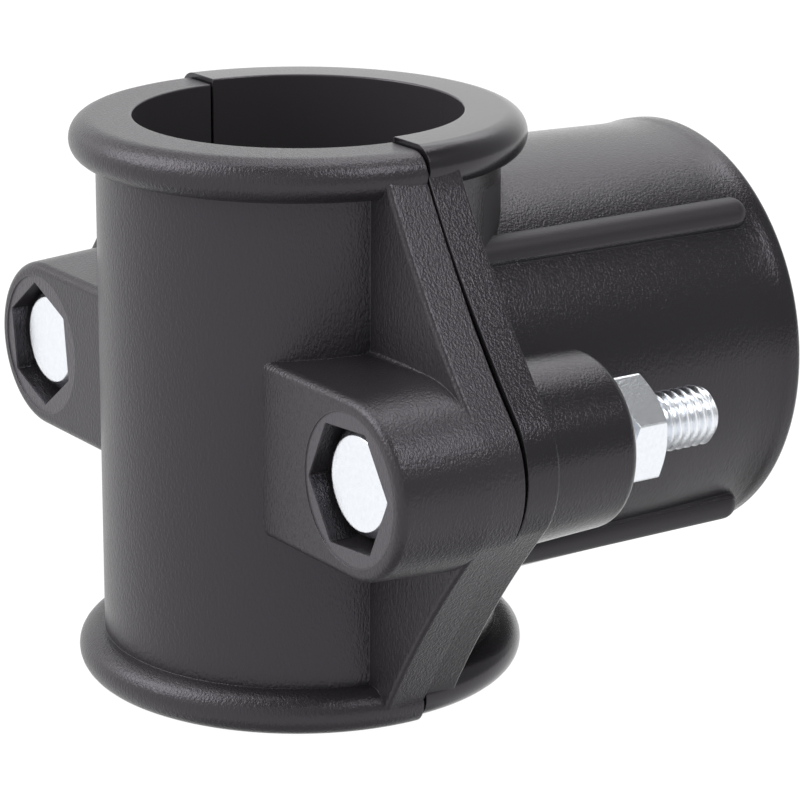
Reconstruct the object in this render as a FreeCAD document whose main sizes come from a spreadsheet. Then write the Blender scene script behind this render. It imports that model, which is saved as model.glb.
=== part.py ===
import FreeCAD, Part
import math
import os

import Sketcher

# Clamp saddle for tapping a branch off a plastic pipe.
# Frame: Z is the axis of the run pipe, Y the axis of the branch socket, and X points to the right-hand
# bolt when the cap is seen from the front. The origin is in the middle of the rear half.
# All lengths are in millimetres and all angles in degrees.

DIMENSIONS = [
    # run pipe and the half tubes round it
    ("run_bore_r", 16.0, "radius of the run pipe"),
    ("tube_r", 19.6, "outer radius of the half tubes"),
    ("half_height", 28.05, "from the middle of a half to each of its ends"),
    ("collar_r", 22.15, "outer radius of the end collars"),
    ("collar_height", 4.25, "height of a collar"),
    ("rim_r", 2.2, "rounding of the outer rim at the end face"),
    ("split_gap", 0.3, "gap between the two halves"),
    ("cap_drop", 0.5, "how far the cap sits below the rear half, within the play of its holes"),
    # ears
    ("ear_tip_r", 9.1, "radius of the ear round its bolt"),
    ("ear_rake", 37.0, "direction where the ear tip runs into its sides"),
    ("ear_top_x", 21.6, "half width of the ears where they meet the collars"),
    ("ear_top_z", 26.0, "height where the ears meet the collars"),
    ("ear_side_r", 120.0, "hollow curve of the ear sides"),
    ("cap_ear_y", 4.4, "front face of the cap ears, from the split"),
    ("cap_edge_r", 0.45, "bevel of the cap ear edges"),
    ("rear_ear_y", 4.0, "back face of the rear ears, from the split"),
    ("rear_edge_r", 1.1, "bevel of the rear ear edges"),
    # bolts
    ("bolt_x", 28.8, "from the run axis to each bolt"),
    ("bolt_drop", 0.1, "how far the bolts sit below the middle of the rear half"),
    ("bolt_r", 2.95, "outer radius of the M6 thread"),
    ("bolt_length", 36.0, "length under the head"),
    ("bolt_tip_chamfer", 0.7, "chamfer of the bolt end"),
    ("hole_r", 3.4, "bolt holes in both halves"),
    ("head_flats", 10.0, "head across flats"),
    ("head_height", 4.0, "height of the head"),
    ("face_circle_r", 4.4, "circle where the chamfers of head and nut start"),
    ("hex_chamfer", 30.0, "angle of those chamfers"),
    # nuts and washers
    ("nut_flats", 10.0, "nut across flats"),
    ("nut_height", 4.7, "height of the nut"),
    ("nut_clearance", 0.05, "between the nut and the outer radius of the thread"),
    ("nut_turn_right", 20.0, "turn of the right nut about its bolt"),
    ("nut_turn_left", 48.0, "turn of the left nut about its bolt"),
    ("washer_r", 6.0, "outer radius of a washer"),
    ("washer_hole_r", 3.2, "hole of a washer"),
    ("washer_height", 1.6, "thickness of a washer"),
    # bosses of the cap
    ("cap_face_y", 13.3, "front face of the cap bosses, from the split"),
    ("cap_boss_r", 9.1, "half height of a cap boss where it leaves the ear"),
    ("cap_boss_draft", 3.6, "draft of the cap bosses"),
    ("cap_boss_edge_r", 0.6, "bevel round the face of a cap boss"),
    ("seat_y", 8.2, "seat of the bolt heads, from the split"),
    ("pocket_flats", 11.2, "hexagon pocket across flats"),
    ("pocket_mouth_r", 7.05, "circle where the pocket mouth starts"),
    ("pocket_mouth_depth", 0.4, "depth of the conical pocket mouth"),
    ("pocket_turn_right", 4.0, "turn of the right hexagon pocket"),
    ("pocket_turn_left", 37.0, "turn of the left hexagon pocket"),
    # bosses of the rear half
    ("rear_boss_y", 13.4, "end of the rear bosses, from the split"),
    ("rear_boss_r", 9.1, "radius of a rear boss at its root"),
    ("rear_boss_end_r", 8.6, "radius of a rear boss at its end"),
    ("rear_boss_edge_r", 1.1, "rounding of the end of a rear boss"),
    # branch socket
    ("branch_drop", 0.25, "how far the branch axis sits below the middle of the rear half"),
    ("branch_root_r", 22.15, "outer radius of the branch at the run axis"),
    ("branch_taper_r", 21.83, "outer radius of the branch where it starts to narrow"),
    ("branch_taper_y", 32.0, "where it starts to narrow, from the run axis"),
    ("branch_waist_r", 21.53, "outer radius of the branch at its narrowest"),
    ("branch_waist_y", 42.0, "its narrowest place, where the mouth starts to widen"),
    ("branch_lip_r", 21.77, "outer radius of the mouth"),
    ("branch_length", 46.5, "from the run axis to the mouth"),
    ("lip_edge_r", 0.9, "rounding of the mouth"),
    ("thread_r", 15.15, "inner radius of the 1 inch pipe thread"),
    ("thread_depth", 21.0, "depth of the thread from the mouth"),
    ("thread_chamfer", 1.5, "chamfer at the start of the thread"),
    ("outlet_r", 10.0, "radius of the outlet from the run bore"),
    # ribs on the branch
    ("rib_top_r", 23.3, "outer radius over the ribs"),
    ("rib_width", 3.4, "width of a rib, which is a round bead half sunk in the branch"),
    ("rib_end_y", 43.25, "where the ribs end, from the run axis"),
    ("rib_end_bevel", 1.2, "bevel of the rib ends"),
    ("rib_count", 4, "ribs round the branch"),
    ("rib_turn", 45.0, "turn of the first rib from the X axis"),
    # seal round the outlet
    ("seal_in_r", 11.2, "inner radius of the seal ring"),
    ("seal_width", 3.0, "width of the seal ring"),
    ("seal_height", 2.4, "height of the seal ring"),
]

doc = FreeCAD.newDocument("tapping_saddle")
sheet = doc.addObject("Spreadsheet::Sheet", "Sizes")
for row, (alias, number, note) in enumerate(DIMENSIONS, start=1):
    sheet.set("A%d" % row, note)
    sheet.set("B%d" % row, str(number))
    sheet.setAlias("B%d" % row, alias)
doc.recompute()


class Size:
    """A length or angle that knows its number and the sheet formula it comes from."""

    def __init__(self, number, formula):
        self.number = float(number)
        self.formula = formula

    def __add__(self, other):
        other = size(other)
        return Size(self.number + other.number, "(%s + %s)" % (self.formula, other.formula))

    def __sub__(self, other):
        other = size(other)
        return Size(self.number - other.number, "(%s - %s)" % (self.formula, other.formula))

    def __rsub__(self, other):
        return size(other) - self

    def __mul__(self, other):
        other = size(other)
        return Size(self.number * other.number, "(%s * %s)" % (self.formula, other.formula))

    def __truediv__(self, other):
        other = size(other)
        return Size(self.number / other.number, "(%s / %s)" % (self.formula, other.formula))

    def __neg__(self):
        return Size(-self.number, "(-1 * %s)" % self.formula)

    __radd__ = __add__
    __rmul__ = __mul__


def size(value):
    """A plain number as a size, or the size itself."""
    return value if isinstance(value, Size) else Size(value, "%.6f" % value)


def cosine(angle):
    return Size(math.cos(math.radians(angle.number)), "cos(%s * 1 deg)" % angle.formula)


def sine(angle):
    return Size(math.sin(math.radians(angle.number)), "sin(%s * 1 deg)" % angle.formula)


def tangent(angle):
    return Size(math.tan(math.radians(angle.number)), "tan(%s * 1 deg)" % angle.formula)


class Names:
    """The sheet's sizes as attributes."""


d = Names()
for alias, number, note in DIMENSIONS:
    setattr(d, alias, Size(number, "Sizes.%s" % alias))


# Bodies, sketches and features

def bind(feature, **sizes):
    """Bind each named property of a feature to its size."""
    for name, value in sizes.items():
        feature.setExpression(name, size(value).formula)


def new_body(label):
    body = doc.addObject("PartDesign::Body", label)
    body.Label = label
    return body


def origin_feature(body, role):
    return next(o for o in body.Origin.OriginFeatures if o.Role == role)


def new_sketch(body, label, role, shift=(0, 0, 0), turn=0):
    """A sketch on an origin plane of its body, shifted and turned within that plane's own axes."""
    sketch = body.newObject("Sketcher::SketchObject", label)
    sketch.AttachmentSupport = [(origin_feature(body, role), "")]
    sketch.MapMode = "FlatFace"
    turn = size(turn)
    base = [size(value) for value in shift]
    sketch.AttachmentOffset = FreeCAD.Placement(
        FreeCAD.Vector(*[value.number for value in base]),
        FreeCAD.Rotation(FreeCAD.Vector(0, 0, 1), turn.number))
    for axis, value in zip("xyz", base):
        sketch.setExpression("AttachmentOffset.Base.%s" % axis, value.formula)
    sketch.setExpression("AttachmentOffset.Rotation.Angle", turn.formula)
    return sketch


def name_last(sketch, name, formula):
    index = sketch.ConstraintCount - 1
    sketch.renameConstraint(index, name)
    sketch.setExpression("Constraints.%s" % name, formula)


def arc_between(start, end, radius, left):
    """The short arc from start to end with the given radius, its centre left or right of the chord."""
    chord = end - start
    rise = math.sqrt(max(radius ** 2 - (chord.Length / 2) ** 2, 0.0))
    across = FreeCAD.Vector(-chord.y, chord.x, 0).normalize()
    centre = (start + end) * 0.5 + across * (rise if left else -rise)
    first = math.atan2(start.y - centre.y, start.x - centre.x)
    last = math.atan2(end.y - centre.y, end.x - centre.x)
    if left:
        return Part.ArcOfCircle(Part.Circle(centre, FreeCAD.Vector(0, 0, 1), radius), first, last), 1, 2
    return Part.ArcOfCircle(Part.Circle(centre, FreeCAD.Vector(0, 0, 1), radius), last, first), 2, 1


def add_loop(sketch, corners, arcs=None):
    """A closed outline through corners (pairs of sizes).

    arcs gives, for an edge by the number of its first corner, its radius and whether its centre is on
    the left of the way along the outline. A half circle also gives the x of its centre."""
    arcs = arcs or {}
    tag = "g%d" % sketch.GeometryCount
    points = [FreeCAD.Vector(size(x).number, size(y).number, 0) for x, y in corners]
    edges = []
    for i, start in enumerate(points):
        end = points[(i + 1) % len(points)]
        if i in arcs:
            radius, left = arcs[i][:2]
            curve, first, last = arc_between(start, end, size(radius).number, left)
        else:
            curve, first, last = Part.LineSegment(start, end), 1, 2
        edges.append((sketch.addGeometry(curve, False), first, last))
    for i, (edge, first, last) in enumerate(edges):
        following, its_first, its_last = edges[(i + 1) % len(edges)]
        sketch.addConstraint(Sketcher.Constraint("Coincident", edge, last, following, its_first))
        x, y = (size(value) for value in corners[i])
        sketch.addConstraint(Sketcher.Constraint("DistanceX", edge, first, x.number))
        name_last(sketch, "%s_x%d" % (tag, i), x.formula)
        sketch.addConstraint(Sketcher.Constraint("DistanceY", edge, first, y.number))
        name_last(sketch, "%s_y%d" % (tag, i), y.formula)
        if i in arcs and len(arcs[i]) == 3:
            centre_x = size(arcs[i][2])
            sketch.addConstraint(Sketcher.Constraint("DistanceX", edge, 3, centre_x.number))
            name_last(sketch, "%s_m%d" % (tag, i), centre_x.formula)
        elif i in arcs:
            radius = size(arcs[i][0])
            sketch.addConstraint(Sketcher.Constraint("Radius", edge, radius.number))
            name_last(sketch, "%s_r%d" % (tag, i), radius.formula)


def add_circle(sketch, x, y, radius):
    x, y, radius = size(x), size(y), size(radius)
    tag = "c%d" % sketch.GeometryCount
    circle = Part.Circle(FreeCAD.Vector(x.number, y.number, 0), FreeCAD.Vector(0, 0, 1), radius.number)
    index = sketch.addGeometry(circle, False)
    sketch.addConstraint(Sketcher.Constraint("DistanceX", index, 3, x.number))
    name_last(sketch, tag + "_x", x.formula)
    sketch.addConstraint(Sketcher.Constraint("DistanceY", index, 3, y.number))
    name_last(sketch, tag + "_y", y.formula)
    sketch.addConstraint(Sketcher.Constraint("Radius", index, radius.number))
    name_last(sketch, tag + "_r", radius.formula)


def add_hexagon(sketch, x, y, flats, turn):
    """A regular hexagon about (x, y), its first corner turned from the sketch's X axis."""
    reach = size(flats) / (2 * math.cos(math.pi / 6))
    corners = []
    for k in range(6):
        angle = size(turn) + 60 * k
        corners.append((x + reach * cosine(angle), y + reach * sine(angle)))
    add_loop(sketch, corners)


def pad(body, label, sketch, length, reverse=False, taper=0):
    feature = body.newObject("PartDesign::Pad", label)
    feature.Profile = sketch
    feature.Reversed = reverse
    bind(feature, Length=length, TaperAngle=taper)
    return feature


def pocket(body, label, sketch, length, reverse=False, midplane=False):
    feature = body.newObject("PartDesign::Pocket", label)
    feature.Profile = sketch
    feature.Reversed = reverse
    feature.Midplane = midplane
    bind(feature, Length=length)
    return feature


def revolve(body, label, sketch, cut=False):
    """Turn a sketch once round its own vertical axis, to add or to cut."""
    kind = "PartDesign::Groove" if cut else "PartDesign::Revolution"
    feature = body.newObject(kind, label)
    feature.Profile = sketch
    feature.ReferenceAxis = (sketch, ["V_Axis"])
    feature.Angle = 360
    return feature


def mirror_across_x(body, label, features):
    feature = body.newObject("PartDesign::Mirrored", label)
    feature.Originals = features
    feature.MirrorPlane = (origin_feature(body, "YZ_Plane"), [""])
    body.Tip = feature
    return feature


def lies_at_y(edge, y):
    """Whether an edge lies in the plane at this height along the branch axis."""
    ends = [vertex.Y for vertex in edge.Vertexes]
    return all(abs(value - y.number) < 0.01 for value in ends + [edge.CenterOfMass.y])


def bevel_edges(body, label, width, wanted):
    """Bevel the edges of the body so far for which wanted(edge) is true."""
    doc.recompute()
    tip = body.Tip
    names = ["Edge%d" % i for i, edge in enumerate(tip.Shape.Edges, start=1) if wanted(edge)]
    if not names:
        raise RuntimeError("%s found no edge to bevel" % label)
    feature = body.newObject("PartDesign::Chamfer", label)
    feature.Base = (tip, names)
    bind(feature, Size=width)
    return feature


def rounding(x, y, radius, first, last, steps=2):
    """Corners of a rounded corner about (x, y), from one direction to another in short flats."""
    corners = []
    for k in range(steps + 1):
        angle = size(first + (last - first) * k / steps)
        corners.append((x + radius * cosine(angle), y + radius * sine(angle)))
    return corners


# Outlines that both halves share

FAR = 200.0


def half_tube_outline():
    """Section of the run tube with its two collars, from the axis outwards."""
    under_r = d.collar_height - d.rim_r
    rim = d.half_height - d.rim_r
    upper = [(d.tube_r, rim - under_r)]
    upper += rounding(d.collar_r - under_r, rim, under_r, -90, 0, steps=1)
    upper += rounding(d.collar_r - d.rim_r, rim, d.rim_r, 0, 90, steps=3)[1:]
    upper += [(size(0), d.half_height)]
    lower = [(x, -y) for x, y in reversed(upper)]
    return lower + upper


def ear_outline():
    """Both ears as one plate: rounded tips and slightly hollow sides running to the collars."""
    tip_x = d.bolt_x + d.ear_tip_r * cosine(d.ear_rake)
    tip_z = d.ear_tip_r * sine(d.ear_rake)
    right = [(d.ear_top_x, -d.ear_top_z), (tip_x, -tip_z), (tip_x, tip_z), (d.ear_top_x, d.ear_top_z)]
    left = [(-x, -z) for x, z in right]
    arcs = {}
    for first in (0, 4):
        arcs[first] = (d.ear_side_r, False)
        arcs[first + 1] = (d.ear_tip_r, True)
        arcs[first + 2] = (d.ear_side_r, False)
    return right + left, arcs


def start_half(body, ear_y, edge_r, rear):
    """Run tube, collars and bevelled ears of one half. A sketch on the XZ plane faces the front."""
    tube = new_sketch(body, "tube_section", "XZ_Plane")
    add_loop(tube, half_tube_outline())
    revolve(body, "tube", tube)
    straight = ear_y - edge_r
    ears = new_sketch(body, "ear_shape", "XZ_Plane")
    add_loop(ears, *ear_outline())
    pad(body, "ears", ears, straight, reverse=rear)
    edge = new_sketch(body, "ear_edge_shape", "XZ_Plane", shift=(0, 0, -straight if rear else straight))
    add_loop(edge, *ear_outline())
    pad(body, "ear_edges", edge, edge_r, reverse=rear, taper=-45)


def part_and_bore(body, rear):
    """Clear the run bore, face the half back to its side of the split and drill the bolt holes."""
    bore = new_sketch(body, "run_bore_circle", "XY_Plane")
    add_circle(bore, 0, 0, d.run_bore_r)
    pocket(body, "run_bore", bore, FAR, midplane=True)
    facing = new_sketch(body, "split_face", "XZ_Plane",
                        shift=(0, 0, -d.split_gap / 2 if rear else d.split_gap / 2))
    reach = FAR / 2
    add_loop(facing, [(-reach, -reach), (reach, -reach), (reach, reach), (-reach, reach)])
    pocket(body, "facing", facing, FAR, reverse=rear)
    holes = new_sketch(body, "bolt_hole_circles", "XZ_Plane")
    for side in (1, -1):
        add_circle(holes, side * d.bolt_x, 0, d.hole_r)
    pocket(body, "bolt_holes", holes, FAR, midplane=True)


# Rear half with the branch socket

def make_rear_half():
    body = new_body("saddle_moulding")
    start_half(body, d.rear_ear_y, d.rear_edge_r, rear=True)

    boss = new_sketch(body, "boss_section", "XY_Plane", shift=(d.bolt_x, 0, 0))
    end, edge = d.rear_boss_y, d.rear_boss_edge_r
    add_loop(boss, [(0, 0), (d.rear_boss_r, 0)]
             + rounding(d.rear_boss_end_r - edge, end - edge, edge, 0, 90) + [(0, end)])
    right_boss = revolve(body, "right_boss", boss)
    doc.recompute()
    mirror_across_x(body, "left_boss", [right_boss])

    drop = d.branch_drop
    branch = new_sketch(body, "branch_section", "XY_Plane", shift=(0, 0, -drop))
    length, edge = d.branch_length, d.lip_edge_r
    add_loop(branch, [(0, 0), (d.branch_root_r, 0), (d.branch_taper_r, d.branch_taper_y),
                      (d.branch_waist_r, d.branch_waist_y)]
             + rounding(d.branch_lip_r - edge, length - edge, edge, 0, 90) + [(0, length)])
    revolve(body, "branch", branch)

    bead_r, bevel = d.rib_width / 2, d.rib_end_bevel
    reach = d.rib_top_r - bead_r
    rib = new_sketch(body, "rib_section", "XY_Plane",
                     shift=(reach * cosine(d.rib_turn), 0, reach * sine(d.rib_turn) - drop))
    add_loop(rib, [(0, 0), (bead_r, 0), (bead_r, d.rib_end_y - bevel), (bead_r - bevel, d.rib_end_y),
                   (0, d.rib_end_y)])
    first_rib = revolve(body, "first_rib", rib)
    doc.recompute()
    ribs = body.newObject("PartDesign::PolarPattern", "ribs")
    ribs.Originals = [first_rib]
    ribs.Axis = (branch, ["V_Axis"])
    ribs.Angle = 360
    bind(ribs, Occurrences=d.rib_count)
    body.Tip = ribs

    part_and_bore(body, rear=True)

    socket = new_sketch(body, "socket_section", "XY_Plane", shift=(0, 0, -drop))
    shoulder, chamfer = d.branch_length - d.thread_depth, d.thread_chamfer
    add_loop(socket, [(0, 0), (d.outlet_r, 0), (d.outlet_r, shoulder), (d.thread_r, shoulder),
                      (d.thread_r, length - chamfer), (d.thread_r + chamfer, length), (0, length)])
    revolve(body, "socket", socket, cut=True)
    doc.recompute()
    return body


# Seal ring: a band round the outlet that follows the run bore

# A quarter turn keeps the start of each round face off the planes where the cylinders cross.
SEAM_TURN = FreeCAD.Rotation(FreeCAD.Vector(0, 0, 1), 90)
UP = FreeCAD.Vector(0, 0, 1)
BACK = FreeCAD.Vector(0, 1, 0)


def along_branch(label, radius, height):
    """A cylinder on the branch axis, from the run axis outwards."""
    part = doc.addObject("Part::Cylinder", label)
    part.Label = label
    bind(part, Radius=radius, Height=height)
    turn = FreeCAD.Rotation(UP, BACK) * SEAM_TURN
    part.Placement = FreeCAD.Placement(FreeCAD.Vector(0, 0, -d.branch_drop.number), turn)
    part.setExpression("Placement.Base.z", (-d.branch_drop).formula)
    return part


def along_run(label, radius, height):
    """A cylinder on the run axis, half above and half below the middle."""
    part = doc.addObject("Part::Cylinder", label)
    part.Label = label
    bind(part, Radius=radius, Height=height)
    part.Placement = FreeCAD.Placement(FreeCAD.Vector(0, 0, -size(height).number / 2), SEAM_TURN)
    part.setExpression("Placement.Base.z", (size(height) * -0.5).formula)
    return part


def boolean(kind, label, base, tool):
    part = doc.addObject("Part::" + kind, label)
    part.Label = label
    part.Base = base
    part.Tool = tool
    return part


def make_seal_seat(label):
    """What is cut for the seal: a round plug as deep as the seal below the wall of the run bore."""
    outer_r = d.seal_in_r + d.seal_width
    wall_r = d.run_bore_r + d.seal_height
    return boolean("Common", label,
                   along_branch(label + "_side", outer_r, wall_r),
                   along_run(label + "_floor", wall_r, 4 * outer_r))


def make_seal_ring(label):
    """The seat's plug, less the passage through it and the space of the run pipe."""
    outer_r = d.seal_in_r + d.seal_width
    band = boolean("Cut", label + "_band", make_seal_seat(label + "_plug"),
                   along_branch(label + "_passage", d.seal_in_r, d.run_bore_r + d.seal_height))
    return boolean("Cut", label, band, along_run(label + "_crown", d.run_bore_r, 4 * outer_r))


# Front half

def make_cap():
    body = new_body("clamp_cap")
    start_half(body, d.cap_ear_y, d.cap_edge_r, rear=False)

    boss = new_sketch(body, "boss_outline", "XZ_Plane", shift=(0, 0, d.cap_ear_y))
    r, inner = d.cap_boss_r, d.run_bore_r * 0.7
    for side in (1, -1):
        corners = [(side * inner, -side * r), (side * d.bolt_x, -side * r),
                   (side * d.bolt_x, side * r), (side * inner, side * r)]
        add_loop(boss, corners, {1: (r, True, side * d.bolt_x)})
    pad(body, "bosses", boss, d.cap_face_y - d.cap_ear_y, taper=-d.cap_boss_draft)

    def on_boss_face(edge):
        return lies_at_y(edge, -d.cap_face_y) and abs(edge.CenterOfMass.x) > d.run_bore_r.number
    bevel_edges(body, "boss_bevel", d.cap_boss_edge_r, on_boss_face)

    part_and_bore(body, rear=False)

    seats = new_sketch(body, "pocket_hexagons", "XZ_Plane", shift=(0, 0, d.seat_y))
    add_hexagon(seats, d.bolt_x, size(0), d.pocket_flats, d.pocket_turn_right)
    add_hexagon(seats, -d.bolt_x, size(0), d.pocket_flats, d.pocket_turn_left)
    pocket(body, "hexagon_pockets", seats, d.cap_face_y - d.seat_y, reverse=True)
    for label, x in (("right_pocket_mouth", d.bolt_x), ("left_pocket_mouth", -d.bolt_x)):
        mouth = new_sketch(body, label + "_section", "XY_Plane", shift=(x, 0, 0))
        face = d.cap_face_y
        floor = d.cap_face_y - d.pocket_mouth_depth
        add_loop(mouth, [(0, -face), (d.pocket_mouth_r, -face), (d.pocket_flats / 2, -floor), (0, -floor)])
        revolve(body, label, mouth, cut=True)
    doc.recompute()
    body.Placement = FreeCAD.Placement(FreeCAD.Vector(0, 0, -d.cap_drop.number), FreeCAD.Rotation())
    body.setExpression("Placement.Base.z", (-d.cap_drop).formula)
    return body


# Fasteners, each made along its own Z axis and then laid along Y

def hexagon_with_chamfers(body, flats, height, turn, ends):
    """A hexagonal prism with the named ends chamfered to a circle."""
    outline = new_sketch(body, "hexagon", "XY_Plane")
    add_hexagon(outline, size(0), size(0), flats, turn)
    pad(body, "prism", outline, height)
    reach = flats
    drop = (reach - d.face_circle_r) * tangent(d.hex_chamfer)
    for end in ends:
        section = new_sketch(body, "%s_chamfer_section" % end, "XZ_Plane")
        edge = height if end == "top" else size(0)
        far = edge - drop if end == "top" else edge + drop
        corners = [(d.face_circle_r, edge), (reach, far), (reach, edge)]
        add_loop(section, corners)
        revolve(body, "%s_chamfer" % end, section, cut=True)


LIE_BACK = FreeCAD.Rotation(FreeCAD.Vector(1, 0, 0), -90)


def lay_on_bolt(body, side, y):
    """Put a fastener on its bolt axis, pointing back, with its own origin at y."""
    x, z = side * d.bolt_x, -d.bolt_drop
    y = size(y)
    body.Placement = FreeCAD.Placement(FreeCAD.Vector(x.number, y.number, z.number), LIE_BACK)
    for axis, value in zip("xyz", (x, y, z)):
        body.setExpression("Placement.Base.%s" % axis, value.formula)


def make_bolt(label, side, turn):
    """Hexagon bolt with its seat at its own origin, head below and shank above."""
    body = new_body(label)
    outline = new_sketch(body, "head_hexagon", "XY_Plane")
    add_hexagon(outline, size(0), size(0), d.head_flats, -turn)
    pad(body, "head", outline, d.head_height, reverse=True)
    section = new_sketch(body, "head_chamfer_section", "XZ_Plane")
    reach = d.head_flats
    drop = (reach - d.face_circle_r) * tangent(d.hex_chamfer)
    add_loop(section, [(d.face_circle_r, -d.head_height), (reach, -d.head_height),
                       (reach, -d.head_height + drop)])
    revolve(body, "head_chamfer", section, cut=True)
    shank = new_sketch(body, "shank_section", "XZ_Plane")
    tip = d.bolt_length - d.bolt_tip_chamfer
    add_loop(shank, [(0, -d.head_height / 2), (d.bolt_r, -d.head_height / 2), (d.bolt_r, tip),
                     (d.bolt_r - d.bolt_tip_chamfer, d.bolt_length), (0, d.bolt_length)])
    revolve(body, "shank", shank)
    doc.recompute()
    lay_on_bolt(body, side, -d.seat_y)
    return body


def make_nut(label, side, turn):
    body = new_body(label)
    hexagon_with_chamfers(body, d.nut_flats, d.nut_height, -turn, ("top", "bottom"))
    bore = new_sketch(body, "bore_circle", "XY_Plane")
    add_circle(bore, 0, 0, d.bolt_r + d.nut_clearance)
    pocket(body, "bore", bore, FAR, midplane=True)
    doc.recompute()
    lay_on_bolt(body, side, d.rear_boss_y + d.washer_height)
    return body


def make_washer(label, side):
    body = new_body(label)
    ring = new_sketch(body, "ring_circles", "XY_Plane")
    add_circle(ring, 0, 0, d.washer_r)
    add_circle(ring, 0, 0, d.washer_hole_r)
    pad(body, "ring", ring, d.washer_height)
    doc.recompute()
    lay_on_bolt(body, side, d.rear_boss_y)
    return body


moulding = make_rear_half()
saddle_body = boolean("Cut", "saddle_body", moulding, make_seal_seat("seal_seat"))
parts = [
    saddle_body,
    make_cap(),
    make_bolt("bolt_right", 1, d.pocket_turn_right),
    make_bolt("bolt_left", -1, d.pocket_turn_left),
    make_washer("washer_right", 1),
    make_washer("washer_left", -1),
    make_nut("nut_right", 1, d.nut_turn_right),
    make_nut("nut_left", -1, d.nut_turn_left),
    make_seal_ring("branch_seal"),
]
doc.recompute()

for obj in doc.Objects:
    if "Invalid" in obj.State or "Error" in obj.State:
        raise RuntimeError("%s could not be built: %s" % (obj.Label, obj.State))
os.makedirs("parts", exist_ok=True)
for part in parts:
    shape = part.Shape
    if shape.isNull() or not shape.isValid() or len(shape.Solids) != 1:
        raise RuntimeError("%s is not one valid solid" % part.Label)
    box = shape.BoundBox
    print("%-14s volume %9.1f  x %7.2f %7.2f  y %7.2f %7.2f  z %7.2f %7.2f" % (
        part.Label, shape.Volume, box.XMin, box.XMax, box.YMin, box.YMax, box.ZMin, box.ZMax))
    shape.exportStep("parts/%s.step" % part.Label)
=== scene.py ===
import math

import bmesh
import bpy
import numpy as np
from mathutils import Matrix, Vector


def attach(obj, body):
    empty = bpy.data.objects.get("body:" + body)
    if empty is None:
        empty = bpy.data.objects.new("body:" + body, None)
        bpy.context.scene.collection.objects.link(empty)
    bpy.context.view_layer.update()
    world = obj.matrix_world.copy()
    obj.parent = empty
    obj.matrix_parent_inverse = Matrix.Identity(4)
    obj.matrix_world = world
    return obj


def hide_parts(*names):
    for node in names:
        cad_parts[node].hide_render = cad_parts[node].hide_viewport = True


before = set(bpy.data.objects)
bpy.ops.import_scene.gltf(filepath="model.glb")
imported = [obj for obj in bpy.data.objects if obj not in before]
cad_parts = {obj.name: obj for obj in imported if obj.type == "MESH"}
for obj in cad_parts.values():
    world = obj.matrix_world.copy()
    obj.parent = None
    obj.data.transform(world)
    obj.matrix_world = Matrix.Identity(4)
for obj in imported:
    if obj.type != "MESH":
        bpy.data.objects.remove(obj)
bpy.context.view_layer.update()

# Tapping saddle on a pale studio floor. Shapes are worked out in millimetres in the CAD frame and
# scaled when the meshes are made: Z is the run axis and Y the branch axis, and the front half, the
# cap, lies at negative Y. A side is 1 at the right-hand bolt and -1 at the left-hand one.

MM = 0.001

# Sizes, in millimetres and degrees

RUN_R = 16.0
TUBE_R = 19.6
HALF_HEIGHT = 28.05
COLLAR_R = 22.15
COLLAR_HEIGHT = 4.25
RIM_R = 2.2
BORE_EDGE_R = 0.2
CAP_DROP = 0.5

SPLIT = 0.15  # half the gap between the two tube walls
GAP_AT_COLLAR = 0.05  # whole gap between the ears, here and at the bolt
GAP_AT_BOLT = 0.34
GAP_OPENS_Z = 19.5
GAP_RUN = 9.0
SPLIT_EDGE = 0.06

EAR_TIP_R = 9.1
EAR_RAKE = 37.0
EAR_TOP_X = 21.6
EAR_TOP_Z = 26.0
EAR_SIDE_R = 120.0
EAR_INNER_X = 17.5
CAP_EAR_Y = 4.4
CAP_EDGE_R = 0.5
REAR_EAR_Y = 3.8
REAR_EDGE_R = 0.35

BOLT_X = 28.8
BOLT_Z = -0.1
BOLT_R = 2.95
BOLT_LENGTH = 36.0
BOLT_PITCH = 1.0
BOLT_THREAD_DEPTH = 0.6
BOLT_TIP_CHAMFER = 0.7
SHANK_IN_HEAD = 0.5
HOLE_R = 3.4
SEAT_Y = 8.2  # where the heads seat, in front of the split

HEAD_FLATS = 10.0
HEAD_HEIGHT = 4.0
HEAD_FACE_R = 4.45
HEAD_CHAMFER = 45.0
HEAD_ROLL = ((-0.25, 0.0), (-0.08, 0.01), (0.0, 0.035))  # radius past HEAD_FACE_R, depth
HEAD_FOOT_HEIGHT = 0.12
HEAD_FOOT_INSET = 0.1
HEX_CORNER_R = 0.35

NUT_FLATS = 10.0
NUT_HEIGHT = 4.7
NUT_BORE_R = 3.0
NUT_TURN = {1: 20.0, -1: 48.0}
NUT_SINK = 0.35
NUT_FACE_R = 4.4
NUT_FACE_INSET = 0.1
NUT_FACE_STEP = 0.02
NUT_CHAMFER = 30.0

WASHER_R = 6.0
WASHER_HOLE_R = 3.2
WASHER_HEIGHT = 1.6
WASHER_EDGE_R = 0.18
WASHER_HOLE_EDGE = 0.1

CAP_FACE_Y = 13.3
BOSS_ROOT_R = 9.1
BOSS_DRAFT = 3.6
BOSS_EDGE_R = 0.9
BOSS_INNER_X = (17.2, 12.4)  # inner end of the boss, at the ear and at its face
BOSS_SIDE_START = 1.5
BOSS_SIDE_END = 0.6
BOSS_SIDE_POINTS = 12
BOSS_SUNK = 1.5  # depth of the first ring in the ear, and how much smaller it is
BOSS_SUNK_INSET = 0.12
BOSS_FOOT_R = 0.5
BOSS_FOOT_SUNK = 0.02
FOOT_ENDS_X = 2.0  # the foot's flare fades out this far beyond the bolt, over FOOT_FADE
FOOT_FADE = 6.0

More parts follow.
